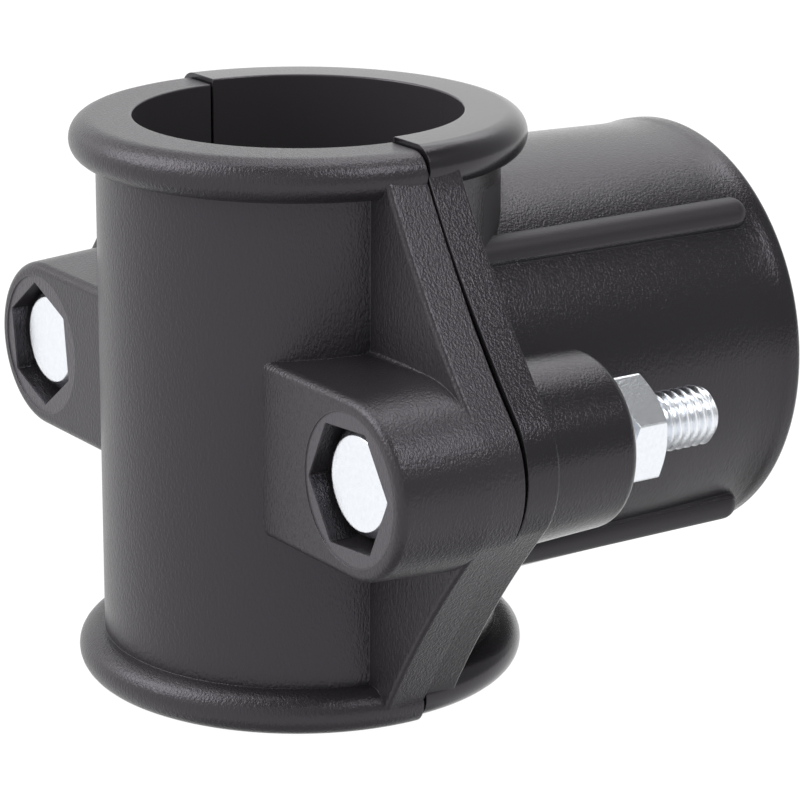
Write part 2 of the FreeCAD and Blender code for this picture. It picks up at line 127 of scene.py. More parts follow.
POCKET_FLATS = 11.2
POCKET_CORNER_R = 0.3
POCKET_TURN = {1: 4.0, -1: 37.0}
POCKET_SHIFT_X = -0.3
POCKET_MOUTH_R = 7.25
POCKET_MOUTH_DEPTH = 0.12
POCKET_FLOOR_R = POCKET_MOUTH_R - 0.05  # the recess widens from here
POCKET_OVER_R = POCKET_MOUTH_R + 0.03  # to here, where its cutter ends

REAR_BOSS_Y = 13.4
REAR_BOSS_R = 9.1
REAR_BOSS_END_R = 8.6
REAR_BOSS_EDGE_R = 1.1
REAR_BOSS_SUNK = 2
REAR_BOSS_SUNK_INSET = 0.15

BRANCH_Z = -0.25
BRANCH_AT = (0.0, BRANCH_Z)
BRANCH_ROOT_R = 22.15
BRANCH_TAPER_R = 21.83
BRANCH_TAPER_Y = 32.0
BRANCH_WAIST_R = 21.53
BRANCH_WAIST_Y = 42.0
BRANCH_LIP_R = 21.77
BRANCH_LENGTH = 46.5
BRANCH_ROWS = 94
BRANCH_SOFT_Y = BRANCH_TAPER_Y - 8  # the bends of the section are softened beyond this
BRANCH_SOFT_ROWS = 11
LIP_EDGE_R = 0.9
LIP_STRAIGHT = 1
OUTLET_R = 10.0

THREAD_R = 15.15
THREAD_ROOT_R = 16.6
THREAD_PITCH = 2.309
THREAD_DEPTH = 21.0
THREAD_LEAD = 1.6
THREAD_FROM_SHOULDER = 0.02
THREAD_FROM_MOUTH = 0.05
THREAD_WALL_R = THREAD_ROOT_R + 0.05  # back of the threaded sleeve, sunk in the socket's wall
SOCKET_R = THREAD_ROOT_R - 0.05
MOUTH_CONE_HEIGHT = 0.9
MOUTH_CONE_R = THREAD_ROOT_R + 0.95
MOUTH_CONE_OVER = 0.1

# Shape of a thread: slope of its flanks, and how much of the pitch is cut off at the root
PIPE_FLANK, PIPE_ROOT = 2.4, 0.1
BOLT_FLANK, BOLT_ROOT = 2.6, 0.15

RIB_TOP_R = 23.3
RIB_WIDTH = 3.4
RIB_START_Y = 3.0
RIB_END_Y = 43.25
RIB_COUNT = 4
RIB_TURN = 45.0

SEAL_OUT_R = 14.2
SEAL_HEIGHT = 2.4

# How far the cutters run past what they cut
CUT_OVER = 1
BORE_OVER = 5
CAP_HOLE_BACK_Y = 2
REAR_HOLE_END_Y = 20
SEAL_SEAT_START_Y, SEAL_SEAT_END_Y = 2, 30
SEAL_SEAT_REACH_Z = 20

SHARP_ANGLE = math.radians(17)
PIPE_THREAD_SHARP = math.radians(60)
BOLT_THREAD_SHARP = math.radians(50)
ROUND_STEPS = 8
FULL_TURN = 2 * math.pi


# Outlines and meshes

def arc(cx, cy, radius, first, last, steps=ROUND_STEPS):
    """Points on an arc, in degrees from first to last, both ends included."""
    angles = np.radians(np.linspace(first, last, steps + 1))
    return [(cx + radius * math.cos(a), cy + radius * math.sin(a)) for a in angles]


def quarter_turn(count):
    """Angles of a quarter turn in radians, both ends included."""
    return np.radians(np.linspace(0, 90, count))


def arc_through(start, end, radius, bulge_left, steps=24):
    """The short arc between two points, its centre to the left or right of the way."""
    start, end = np.array(start), np.array(end)
    chord = end - start
    half = np.linalg.norm(chord) / 2
    across = np.array([-chord[1], chord[0]]) / (2 * half)
    rise = math.sqrt(radius ** 2 - half ** 2)
    centre = (start + end) / 2 + across * (rise if bulge_left else -rise)
    first = math.atan2(*(start - centre)[::-1])
    last = math.atan2(*(end - centre)[::-1])
    turn = (last - first + math.pi) % FULL_TURN - math.pi
    angles = first + turn * np.linspace(0, 1, steps + 1)
    return [(centre[0] + radius * math.cos(a), centre[1] + radius * math.sin(a)) for a in angles]


def without_repeats(points):
    """A closed outline without points that repeat the one before."""
    return [p for i, p in enumerate(points) if math.dist(p, points[i - 1]) > 1e-6]


def inset(outline, amount):
    """A closed counterclockwise outline moved inwards by one amount, or by one for each point."""
    pts = np.array(outline)
    along = np.roll(pts, -1, 0) - pts
    along /= np.linalg.norm(along, axis=1)[:, None]
    normal = np.stack([-along[:, 1], along[:, 0]], 1)
    before = np.roll(normal, 1, 0)
    miter = normal + before
    miter /= (1 + (normal * before).sum(1))[:, None]
    return pts + miter * np.reshape(np.broadcast_to(amount, len(pts)), (-1, 1))


def new_object(name, verts, faces):
    """A mesh object from vertices in millimetres, its normals facing out."""
    mesh = bpy.data.meshes.new(name)
    mesh.from_pydata([tuple(v) for v in np.asarray(verts) * MM], [], faces)
    obj = bpy.data.objects.new(name, mesh)
    bpy.context.scene.collection.objects.link(obj)
    bm = bmesh.new()
    bm.from_mesh(mesh)
    bmesh.ops.remove_doubles(bm, verts=bm.verts, dist=1e-8)
    bmesh.ops.recalc_face_normals(bm, faces=bm.faces)
    bm.to_mesh(mesh)
    bm.free()
    return obj


def grid_faces(rows, columns, closed_rows, closed_columns):
    """Four-sided faces between rows of points, closed round either way or left open."""
    faces = []
    for i in range(rows if closed_rows else rows - 1):
        for j in range(columns if closed_columns else columns - 1):
            a, b = i * columns, ((i + 1) % rows) * columns
            k = (j + 1) % columns
            faces.append((a + j, a + k, b + k, b + j))
    return faces


def lofted(name, rings):
    """A closed body through rings of points, its ends closed by flat faces."""
    rings = [np.asarray(r) for r in rings]
    count = len(rings[0])
    faces = grid_faces(len(rings), count, False, True)
    faces.append(tuple(range(count))[::-1])
    faces.append(tuple(range((len(rings) - 1) * count, len(rings) * count)))
    return new_object(name, np.concatenate(rings), faces)


def upright(name, outline, reach):
    """A body along the run axis, from -reach to reach."""
    ends = [np.column_stack([outline, np.full(len(outline), z)]) for z in (-reach, reach)]
    return lofted(name, ends)


def around_y(r, y, angle, centre):
    """Points about an axis along Y."""
    return np.stack([centre[0] + r * np.cos(angle), np.broadcast_to(y, np.shape(r * angle)),
                     centre[1] + r * np.sin(angle)], -1)


def turned_about_y(name, profile, centre=(0.0, 0.0), segments=192):
    """A body of revolution about an axis along Y. The profile is a closed loop of (radius, y)."""
    angles = np.linspace(0, FULL_TURN, segments, endpoint=False)
    profile = np.array(without_repeats(profile))
    verts = np.concatenate([around_y(profile[:, 0], profile[:, 1], a, centre) for a in angles])
    return new_object(name, verts, grid_faces(segments, len(profile), True, True))


def cylinder_profile(r, start, end):
    """Profile of a plain cylinder along Y."""
    return [(0, start), (r, start), (r, end), (0, end)]


def half_turned_about_z(name, profile, rear, drop, segments=128):
    """Half a body of revolution, behind or before the split. The profile is (radius, z)."""
    profile = np.array(without_repeats(profile))
    angles = np.linspace(0, math.pi, segments + 1) * (1 if rear else -1)
    rings = []
    for i, a in enumerate(angles):
        y = profile[:, 0] * math.sin(a)
        if i in (0, segments):
            y = np.full(len(profile), SPLIT if rear else -SPLIT)
        rings.append(np.stack([profile[:, 0] * math.cos(a), y, profile[:, 1] - drop], -1))
    return lofted(name, rings)


def combine(base, others, operation):
    """Join or cut meshes for good."""
    for other in others:
        modifier = base.modifiers.new("combine", "BOOLEAN")
        modifier.operation = operation
        modifier.solver = "EXACT"
        modifier.object = other
    bpy.context.view_layer.update()
    evaluated = base.evaluated_get(bpy.context.evaluated_depsgraph_get())
    mesh = bpy.data.meshes.new_from_object(evaluated)
    base.modifiers.clear()
    base.data = mesh
    for other in others:
        bpy.data.objects.remove(other)
    return base


def smooth(obj, angle=SHARP_ANGLE):
    """Smooth shading with edges over an angle kept sharp."""
    mesh = obj.data
    bm = bmesh.new()
    bm.from_mesh(mesh)
    for face in bm.faces:
        face.smooth = True
    for edge in bm.edges:
        edge.smooth = len(edge.link_faces) == 2 and edge.calc_face_angle(0.0) < angle
    bm.to_mesh(mesh)
    bm.free()
    weighted = obj.modifiers.new("weighted", "WEIGHTED_NORMAL")
    weighted.keep_sharp = True
    return obj


# Shapes that both halves share

def half_tube_profile():
    """Closed section of the run tube's wall with its two collars."""
    under_r = COLLAR_HEIGHT - RIM_R
    rim = HALF_HEIGHT - RIM_R
    upper = [(TUBE_R, rim - under_r)]
    upper += arc(COLLAR_R - under_r, rim, under_r, -90, 0)
    upper += arc(COLLAR_R - RIM_R, rim, RIM_R, 0, 90)
    upper += arc(RUN_R + BORE_EDGE_R, HALF_HEIGHT - BORE_EDGE_R, BORE_EDGE_R, 90, 180, steps=3)
    lower = [(r, -z) for r, z in reversed(upper)]
    return lower + upper


def ear_outline(side):
    """One ear, from inside the tube wall round the bolt, counterclockwise seen from the front."""
    tip = (BOLT_X + EAR_TIP_R * math.cos(math.radians(EAR_RAKE)),
           EAR_TIP_R * math.sin(math.radians(EAR_RAKE)))
    top = (EAR_TOP_X, EAR_TOP_Z)
    points = [(EAR_INNER_X, -EAR_TOP_Z)]
    points += arc_through((top[0], -top[1]), (tip[0], -tip[1]), EAR_SIDE_R, False)
    points += arc(BOLT_X, 0, EAR_TIP_R, -EAR_RAKE, EAR_RAKE, steps=40)
    points += arc_through(tip, top, EAR_SIDE_R, False)
    points += [(EAR_INNER_X, EAR_TOP_Z)]
    points = without_repeats(points)
    if side < 0:
        points = [(-x, z) for x, z in reversed(points)]
    return points


def at_y(outline, y, drop):
    """An outline of (x, z) laid at one y."""
    outline = np.asarray(outline)
    return np.stack([outline[:, 0], np.full(len(outline), y), outline[:, 1] - drop], 1)


def split_face(outline, way, drop, depth=0.0):
    """The face of an ear at the split. The gap widens away from the collars."""
    outline = np.asarray(outline)
    share = np.clip((GAP_OPENS_Z - np.abs(outline[:, 1])) / GAP_RUN, 0, 1)
    gap = GAP_AT_COLLAR + (GAP_AT_BOLT - GAP_AT_COLLAR) * share * share * (3 - 2 * share)
    return np.stack([outline[:, 0], way * (gap / 2 + depth), outline[:, 1] - drop], 1)


def ear(name, side, rear):
    """One ear plate with its outer edge rounded."""
    outline = ear_outline(side)
    way = 1 if rear else -1
    thick = REAR_EAR_Y if rear else CAP_EAR_Y
    edge_r = REAR_EDGE_R if rear else CAP_EDGE_R
    drop = 0 if rear else CAP_DROP
    rings = [split_face(inset(outline, SPLIT_EDGE), way, drop),
             split_face(outline, way, drop, SPLIT_EDGE)]
    for angle in quarter_turn(10):
        depth = edge_r * (1 - math.cos(angle))
        y = thick - edge_r + edge_r * math.sin(angle)
        rings.append(at_y(inset(outline, depth), way * y, drop))
    return lofted(name, rings)


# Hexagons: the distance from the axis to the side of a hexagon at an angle, its corners softened

def hexagon_reach(angles, flats, turn, corner_r):
    """Distance from the axis to a hexagon at each angle, its corners rounded to corner_r."""
    half = math.pi / 6
    off = np.abs((angles - math.radians(turn) + half) % (2 * half) - half)
    centre = (flats / 2 - corner_r) / math.cos(half)
    last = math.atan2(corner_r * math.sin(half), centre + corner_r * math.cos(half))
    side = flats / 2 / np.cos(half - off)
    within = np.minimum(off, last)
    arc_reach = centre * np.cos(within)
    arc_reach = arc_reach + np.sqrt(corner_r ** 2 - (centre * np.sin(within)) ** 2)
    return np.where(off < last, arc_reach, side)


def hexagon_angles(turn, corner_span=3.0):
    """Directions round a hexagon, closer together within corner_span degrees of its corners."""
    corner = np.linspace(-corner_span, corner_span, 9)
    side = np.linspace(corner_span, 60 - corner_span, 12)[1:-1]
    steps = np.concatenate([corner, side])
    return np.radians(turn + np.concatenate([60 * k + steps for k in range(6)]))


def hexagon_body(name, rows, centre):
    """A closed body from rows of (radius at every angle, y, angles), with flat ends."""
    return lofted(name, [around_y(r, y, a, centre) for r, y, a in rows])


# Front half

def cap_boss_ring(side, y, shrink):
    """Outline of the boss at a depth: a half round about the bolt, its sides run in to the tube."""
    r = BOSS_ROOT_R - (y - CAP_EAR_Y) * math.tan(math.radians(BOSS_DRAFT))
    share = (y - CAP_EAR_Y) / (CAP_FACE_Y - CAP_EAR_Y)
    inner = BOSS_INNER_X[0] + (BOSS_INNER_X[1] - BOSS_INNER_X[0]) * share
    near, far = inner + BOSS_SIDE_START, BOLT_X - BOSS_SIDE_END
    outline = [(inner, -r)]
    outline += [(x, -r) for x in np.linspace(near, far, BOSS_SIDE_POINTS)]
    outline += arc(BOLT_X, 0, r, -90, 90, steps=48)
    outline += [(x, r) for x in np.linspace(far, near, BOSS_SIDE_POINTS)]
    outline += [(inner, r)]
    outline = without_repeats(outline)
    amount = np.full(len(outline), shrink)
    if shrink < 0:
        reach = np.array([p[0] for p in outline])
        amount = shrink * np.clip((BOLT_X + FOOT_ENDS_X - reach) / FOOT_FADE, 0, 1)
    outline = [(max(x, inner), z) for x, z in inset(outline, amount)]
    if side < 0:
        outline = [(-x, z) for x, z in outline]
    return at_y(outline, -y, CAP_DROP)


def cap_boss(name, side):
    """Drafted boss with a flared foot and a rounded front edge."""
    rings = [cap_boss_ring(side, CAP_EAR_Y - BOSS_SUNK, BOSS_SUNK_INSET)]
    for angle in quarter_turn(6):
        y = CAP_EAR_Y - BOSS_FOOT_SUNK + BOSS_FOOT_R * (1 - math.cos(angle))
        rings.append(cap_boss_ring(side, y, -BOSS_FOOT_R * (1 - math.sin(angle))))
    for angle in quarter_turn(8):
        y = CAP_FACE_Y - BOSS_EDGE_R * (1 - math.sin(angle))
        rings.append(cap_boss_ring(side, y, BOSS_EDGE_R * (1 - math.cos(angle))))
    return lofted(name, rings)


def pocket_cutter(name, side):
    """Hexagon pocket with a shallow round recess at its mouth and the bolt hole behind it."""
    bolt_at = (side * BOLT_X, -CAP_DROP)
    pocket_at = (side * BOLT_X + POCKET_SHIFT_X, -CAP_DROP)
    front = -CAP_FACE_Y - CUT_OVER
    turn = POCKET_TURN[side]
    angles = hexagon_angles(turn)
    reach = hexagon_reach(angles, POCKET_FLATS, turn, POCKET_CORNER_R)
    hexagon = hexagon_body(name, [(reach, -SEAT_Y, angles), (reach, front, angles)], pocket_at)
    floor = CAP_FACE_Y - POCKET_MOUTH_DEPTH
    mouth = [(0, -floor), (POCKET_FLOOR_R, -floor), (POCKET_OVER_R, front), (0, front)]
    mouth = turned_about_y(name + " mouth", mouth, bolt_at, segments=160)
    hole = cylinder_profile(HOLE_R, CAP_HOLE_BACK_Y, -SEAT_Y - CUT_OVER)
    hole = turned_about_y(name + " hole", hole, bolt_at, segments=96)
    return [hexagon, mouth, hole]


def make_cap():
    cap = half_turned_about_z("cap_moulding", half_tube_profile(), False, CAP_DROP)
    pieces = [ear("cap ear", side, False) for side in (1, -1)]
    pieces += [cap_boss("cap boss", side) for side in (1, -1)]
    combine(cap, pieces, "UNION")
    cutters = pocket_cutter("right pocket", 1) + pocket_cutter("left pocket", -1)
    combine(cap, cutters, "DIFFERENCE")
    return smooth(cap)


# Rear half

def branch_profile():
    """Section of the branch: nearly straight, slightly waisted before the mouth."""
    lip = BRANCH_LENGTH - LIP_EDGE_R
    knots = np.array([(BRANCH_ROOT_R, 0), (BRANCH_TAPER_R, BRANCH_TAPER_Y),
                      (BRANCH_WAIST_R, BRANCH_WAIST_Y), (BRANCH_LIP_R, lip)])
    heights = np.linspace(0, lip, BRANCH_ROWS)
    radii = np.interp(heights, knots[:, 1], knots[:, 0])
    window = np.hanning(BRANCH_SOFT_ROWS) / np.hanning(BRANCH_SOFT_ROWS).sum()
    padded = np.pad(radii, BRANCH_SOFT_ROWS // 2, mode="edge")
    soft = np.convolve(padded, window, mode="valid")
    radii = np.where(heights > BRANCH_SOFT_Y, soft, radii)
    radii[heights > lip - LIP_STRAIGHT] = BRANCH_LIP_R
    profile = [(0, SPLIT), (BRANCH_ROOT_R, SPLIT)]
    profile += [(r, y) for r, y in zip(radii, heights) if y > BRANCH_SOFT_Y]
    profile += arc(BRANCH_LIP_R - LIP_EDGE_R, lip, LIP_EDGE_R, 0, 90)[1:]
    profile += [(0, BRANCH_LENGTH)]
    return profile


def rear_boss(name, side):
    """Round boss behind the ear, tapered and with a rounded end."""
    edge_r, sunk = REAR_BOSS_EDGE_R, REAR_EAR_Y - REAR_BOSS_SUNK
    profile = [(0, sunk), (REAR_BOSS_R - REAR_BOSS_SUNK_INSET, sunk)]
    profile += arc(REAR_BOSS_END_R - edge_r, REAR_BOSS_Y - edge_r, edge_r, 0, 90)
    profile += [(0, REAR_BOSS_Y)]
    return turned_about_y(name, profile, (side * BOLT_X, 0), segments=160)


def rib(name, turn):
    """A round bead with a ball end, half sunk in the branch."""
    bead_r = RIB_WIDTH / 2
    reach = RIB_TOP_R - bead_r
    centre = (reach * math.cos(math.radians(turn)),
              BRANCH_Z + reach * math.sin(math.radians(turn)))
    profile = [(0, RIB_START_Y), (bead_r, RIB_START_Y)]
    profile += arc(0, RIB_END_Y - bead_r, bead_r, 0, 90, steps=12)
    return turned_about_y(name, profile, centre, segments=64)


def make_saddle():
    body = half_turned_about_z("saddle_moulding", half_tube_profile(), True, 0)
    pieces = [ear("rear ear", side, True) for side in (1, -1)]
    pieces += [rear_boss("rear boss", side) for side in (1, -1)]
    pieces.append(turned_about_y("branch", branch_profile(), BRANCH_AT, segments=256))
    pieces += [rib("rib", RIB_TURN + 360 * k / RIB_COUNT) for k in range(RIB_COUNT)]
    combine(body, pieces, "UNION")

    angles = np.linspace(0, FULL_TURN, 256, endpoint=False) + math.pi / 256
    circle = np.stack([RUN_R * np.cos(angles), RUN_R * np.sin(angles)], 1)
    bore = upright("bore", circle, HALF_HEIGHT + BORE_OVER)

    shoulder, over = BRANCH_LENGTH - THREAD_DEPTH, BRANCH_LENGTH + MOUTH_CONE_OVER
    socket = [(0, -CUT_OVER), (OUTLET_R, -CUT_OVER), (OUTLET_R, shoulder), (SOCKET_R, shoulder),
              (SOCKET_R, BRANCH_LENGTH - MOUTH_CONE_HEIGHT), (MOUTH_CONE_R, over), (0, over)]
    socket = turned_about_y("socket", socket, BRANCH_AT, segments=256)

    # The seal's seat is as deep as the seal all round, so it ends on a cylinder about the run axis
    seat = cylinder_profile(SEAL_OUT_R, SEAL_SEAT_START_Y, SEAL_SEAT_END_Y)
    seat = turned_about_y("seat", seat, BRANCH_AT, segments=192)
    limit = upright("limit", circle * (RUN_R + SEAL_HEIGHT) / RUN_R, SEAL_SEAT_REACH_Z)
    combine(seat, [limit], "INTERSECT")

    hole = cylinder_profile(HOLE_R, -CUT_OVER, REAR_HOLE_END_Y)
    holes = [turned_about_y("hole", hole, (side * BOLT_X, 0), segments=96) for side in (1, -1)]
    combine(body, [bore, socket, seat] + holes, "DIFFERENCE")
    return smooth(body)


# Threads

def thread_rows(count, per_pitch, spin, pitch, start, end, flank, root):
    """Rows of a helix: its y at each angle, and its height there from 0 (root) to 1 (crest)."""
    for row in range(count):
        y = np.clip(start + (row / per_pitch - 1 + spin / FULL_TURN) * pitch, start, end)
        share = ((y - start) / pitch - spin / FULL_TURN) % 1.0
        yield y, np.clip(flank * (0.5 - np.abs(share - 0.5)) - root, 0, 1)


def make_branch_thread():
    """Female pipe thread as a thin sleeve whose inner face is a helix."""
    per_turn, per_pitch = 128, 12
    start = BRANCH_LENGTH - THREAD_DEPTH + THREAD_FROM_SHOULDER
    end = BRANCH_LENGTH - THREAD_FROM_MOUTH
    count = int((end - start) / THREAD_PITCH * per_pitch) + 2 * per_pitch
    depth = THREAD_ROOT_R - THREAD_R
    spin = np.linspace(0, FULL_TURN, per_turn + 1)
    rows = []
    for y, height in thread_rows(count, per_pitch, spin, THREAD_PITCH, start, end,
                                 PIPE_FLANK, PIPE_ROOT):
        height = height * height * (3 - 2 * height)
        lead = np.clip((end - y) / THREAD_LEAD, 0, 1)
        r = np.maximum(THREAD_ROOT_R - depth * height, THREAD_ROOT_R - depth * lead)
        rows.append(around_y(r, y, spin, BRANCH_AT))
    columns = per_turn + 1
    faces = grid_faces(count, columns, False, False)
    rows += [around_y(np.full(columns, THREAD_WALL_R), y, spin, BRANCH_AT) for y in (end, start)]
    last, outer = (count - 1) * columns, count * columns
    back = outer + columns
    for j in range(per_turn):
        faces.append((last + j, last + j + 1, outer + j + 1, outer + j))
        faces.append((outer + j, outer + j + 1, back + j + 1, back + j))
        faces.append((back + j, back + j + 1, j + 1, j))
    sleeve = new_object("socket_thread", np.concatenate(rows), faces)
    return smooth(sleeve, PIPE_THREAD_SHARP)


def bolt_shank(centre):
    """The threaded shank, closed by a fan of faces at each end."""
    per_turn, per_pitch = 72, 10
    start, end = -SEAT_Y - SHANK_IN_HEAD, BOLT_LENGTH - SEAT_Y
    count = int((end - start) / BOLT_PITCH * per_pitch) + per_pitch
    spin = np.linspace(0, FULL_TURN, per_turn + 1)
    rows = []
    for y, height in thread_rows(count, per_pitch, spin, BOLT_PITCH, start, end,
                                 BOLT_FLANK, BOLT_ROOT):
        r = BOLT_R - BOLT_THREAD_DEPTH * (1 - height)
        r = np.minimum(r, BOLT_R - BOLT_TIP_CHAMFER + np.clip(end - y, 0, None))
        rows.append(around_y(r, y, -spin, centre))
    columns = per_turn + 1
    faces = grid_faces(count, columns, False, False)
    last, middles = (count - 1) * columns, count * columns
    for j in range(per_turn):
        faces.append((j + 1, j, middles))
        faces.append((last + j, last + j + 1, middles + 1))
    ends = np.array([[centre[0], y, centre[1]] for y in (start, end)])
    shank = new_object("bolt thread", np.concatenate(rows + [ends]), faces)
    return smooth(shank, BOLT_THREAD_SHARP)


# Fasteners

def chamfer_drop(reach, face_r, slope):
    """How far a chamfer has fallen at a distance from the axis."""
    return np.clip(reach - face_r, 0, None) * math.tan(math.radians(slope))


def make_bolt(side):
    """Hexagon bolt, threaded to the head. Returns the head and the shank."""
    centre = (side * BOLT_X, BOLT_Z)
    turn = POCKET_TURN[side]
    angles = hexagon_angles(turn)
    reach = hexagon_reach(angles, HEAD_FLATS, turn, HEX_CORNER_R)
    top = -SEAT_Y - HEAD_HEIGHT
    flat = np.full(len(angles), HEAD_FACE_R)
    rows = [(flat + outwards, top + depth, angles) for outwards, depth in HEAD_ROLL]
    rolled = top + HEAD_ROLL[-1][1]
    for share in np.linspace(0, 1, 5)[1:]:
        r = flat + (reach - flat) * share
        rows.append((r, rolled + chamfer_drop(r, HEAD_FACE_R, HEAD_CHAMFER), angles))
    rows.append((reach, -SEAT_Y - HEAD_FOOT_HEIGHT, angles))
    rows.append((reach - HEAD_FOOT_INSET, -SEAT_Y, angles))
    head = hexagon_body("bolt head", rows, centre)
    shank = bolt_shank(centre)
    return smooth(head), shank


def make_nut(side):
    """Hexagon nut, chamfered on both faces, with a countersunk bore."""
    centre = (side * BOLT_X, BOLT_Z)
    turn = NUT_TURN[side]
    angles = hexagon_angles(turn)
    reach = hexagon_reach(angles, NUT_FLATS, turn, HEX_CORNER_R)
    near = REAR_BOSS_Y + WASHER_HEIGHT
    far = near + NUT_HEIGHT
    flat = np.full(len(angles), NUT_FACE_R)
    bore = np.full(len(angles), NUT_BORE_R)
    sunk, face = bore + NUT_SINK, flat - NUT_FACE_INSET
    rows = [(bore, near + NUT_SINK, angles), (sunk, near, angles), (face, near, angles)]
    for shares, start, way in ((np.linspace(0, 1, 5), near, 1), (np.linspace(1, 0, 5), far, -1)):
        for share in shares:
            r = flat + (reach - flat) * share
            drop = chamfer_drop(r, NUT_FACE_R, NUT_CHAMFER)
            rows.append((r, start + way * NUT_FACE_STEP + way * drop, angles))
    rows += [(face, far, angles), (sunk, far, angles), (bore, far - NUT_SINK, angles)]
    verts = np.concatenate([around_y(r, y, a, centre) for r, y, a in rows])
    return smooth(new_object("nut", verts, grid_faces(len(rows), len(angles), True, True)))


def make_washer(side):
    """Plain washer against the rear boss, its outer edges rounded."""
    near, edge_r = REAR_BOSS_Y, WASHER_EDGE_R
    far = near + WASHER_HEIGHT
    profile = [(WASHER_HOLE_R, near), (WASHER_R - edge_r, near)]
    profile += arc(WASHER_R - edge_r, near + edge_r, edge_r, -90, 0, steps=3)
    profile += arc(WASHER_R - edge_r, far - edge_r, edge_r, 0, 90, steps=3)
    profile += [(WASHER_HOLE_R + WASHER_HOLE_EDGE, far), (WASHER_HOLE_R, far - WASHER_HOLE_EDGE)]
    return smooth(turned_about_y("washer", profile, (side * BOLT_X, BOLT_Z), segments=128))


# Materials. Sizes here are in metres, and grain scales are the noise texture's own

# Both halves are one black polypropylene. The saddle's black is darker than the cap's: painted
# shade for the rear half, which faces away from the light
CAP_BLACK = (0.0178, 0.0161, 0.0178)
SADDLE_PAINTED_SHADE_BLACK = (0.0105, 0.0096, 0.0105)
BORE_GREY = (0.031, 0.0285, 0.031)
# painted sheen: the smooth floor of the recess round each pocket gets a lighter grey in place of
# the light it reflects
RECESS_PAINTED_SHEEN_GREY = (0.05, 0.047, 0.052)
PLASTIC_SPECULAR = 0.45
PLASTIC_TINT = (1.0, 0.94, 1.05, 1.0)
PLASTIC_BEVEL = 0.00013
CAP_ROUGHNESS = 0.31
CAP_GRAIN = (4200, 0.00007)  # scale and depth
SADDLE_ROUGHNESS = 0.21
SADDLE_GRAIN = (4300, 0.000044)
RIB_ROUGHNESS = 0.5
FINE_SCALE = 1.9  # scale and depth of the finer grain, as shares of the coarse one's
FINE_DEPTH = 0.3
FINE_STRENGTH = 0.6  # strength of the finer grain
BORE_CALM = 0.15  # strength of the grain that is left in the bore, and on ribs and collar ends
RIB_CALM = 0.3

# Where a finish changes, from the start to the end of a soft step
BORE_STEP = (0.0162, 0.0163)
RIB_RADIUS_STEP = (0.0223, 0.0225)
RIB_BACK_STEP = ((REAR_BOSS_Y - 3.5) * MM, (REAR_BOSS_Y - 3.3) * MM)
RIB_LOW_STEP = (0.0088, 0.009)
RIB_HIGH_STEP = (0.0215, 0.022)
COLLAR_STEP = (0.0235, 0.025)
# where the painted sheen of the pocket recess begins: within this distance of the bolt, and in
# front of this depth
RECESS_SHEEN_RADIUS_STEP = (POCKET_MOUTH_R * MM, (POCKET_MOUTH_R + 0.05) * MM)
RECESS_SHEEN_FRONT_STEP = (-(CAP_FACE_Y - 0.3) * MM, -(CAP_FACE_Y - 0.35) * MM)

ZINC = (0.8, 0.83, 0.88)
ZINC_DULL = (0.76, 0.79, 0.84, 1)
ZINC_BRIGHT = (0.88, 0.9, 0.93, 1)
ZINC_ROUGHNESS = 0.2
ZINC_BEVEL = 0.00012
ZINC_GRAIN_SCALE = 5200
ZINC_GRAIN_DEPTH = 0.00004
ZINC_GRAIN_STRENGTH = 0.5
ZINC_MOTTLE_SCALE = 2500
SEAL_BLACK = (0.02, 0.02, 0.021)
SEAL_ROUGHNESS = 0.7


def new_material(name, base, roughness, metallic=0.0, specular=0.5):
    material = bpy.data.materials.new(name)
    material.use_nodes = True
    shader = material.node_tree.nodes["Principled BSDF"]
    shader.inputs["Base Color"].default_value = (*base, 1)
    shader.inputs["Roughness"].default_value = roughness
    shader.inputs["Metallic"].default_value = metallic
    shader.inputs["Specular IOR Level"].default_value = specular
    return material, shader


def add_noise(material, scale, detail, roughness=0.6, stretch=(1, 1, 1)):
    nodes, links = material.node_tree.nodes, material.node_tree.links
    coordinates = nodes.new("ShaderNodeTexCoord")
    mapping = nodes.new("ShaderNodeMapping")
    mapping.inputs["Scale"].default_value = stretch
    noise = nodes.new("ShaderNodeTexNoise")
    noise.inputs["Scale"].default_value = scale
    noise.inputs["Detail"].default_value = detail
    noise.inputs["Roughness"].default_value = roughness
    links.new(coordinates.outputs["Object"], mapping.inputs["Vector"])
    links.new(mapping.outputs["Vector"], noise.inputs["Vector"])
    return noise.outputs["Fac"]


def add_bump(material, height, strength, distance, after):
    nodes, links = material.node_tree.nodes, material.node_tree.links
    bump = nodes.new("ShaderNodeBump")
    bump.inputs["Strength"].default_value = strength
    bump.inputs["Distance"].default_value = distance
    links.new(height, bump.inputs["Height"])
    links.new(after, bump.inputs["Normal"])
    return bump.outputs["Normal"]


def add_bevel(material, radius):
    """Normals that round sharp edges off."""
    bevel = material.node_tree.nodes.new("ShaderNodeBevel")
    bevel.samples = 6
    bevel.inputs["Radius"].default_value = radius
    return bevel.outputs["Normal"]


def math_node(material, operation, first, second=0.0):
    """One Math node on two values, each a socket or a number."""
    node = material.node_tree.nodes.new("ShaderNodeMath")
    node.operation = operation
    for socket, value in zip(node.inputs, (first, second)):
        if isinstance(value, (int, float)):
            socket.default_value = value
        else:
            material.node_tree.links.new(value, socket)
    return node.outputs["Value"]


def product(material, first, *others):
    for other in others:
        first = math_node(material, "MULTIPLY", first, other)
    return first


def radius_about(material, axes, centre=(0.0, 0.0)):
    """Distance in the object's own frame from a line along the third axis, and the coordinates.

    A line off the middle in X stands for its mirror image too.
    """
    nodes, links = material.node_tree.nodes, material.node_tree.links
    split = nodes.new("ShaderNodeSeparateXYZ")
    links.new(nodes.new("ShaderNodeTexCoord").outputs["Object"], split.inputs["Vector"])
    squares = []
    for axis, middle in zip(axes, centre):
        across = split.outputs[axis]
        if axis == "X" and middle:
            across = math_node(material, "ABSOLUTE", across)
        across = math_node(material, "SUBTRACT", across, middle)
        squares.append(math_node(material, "MULTIPLY", across, across))
    return math_node(material, "SQRT", math_node(material, "ADD", *squares)), split


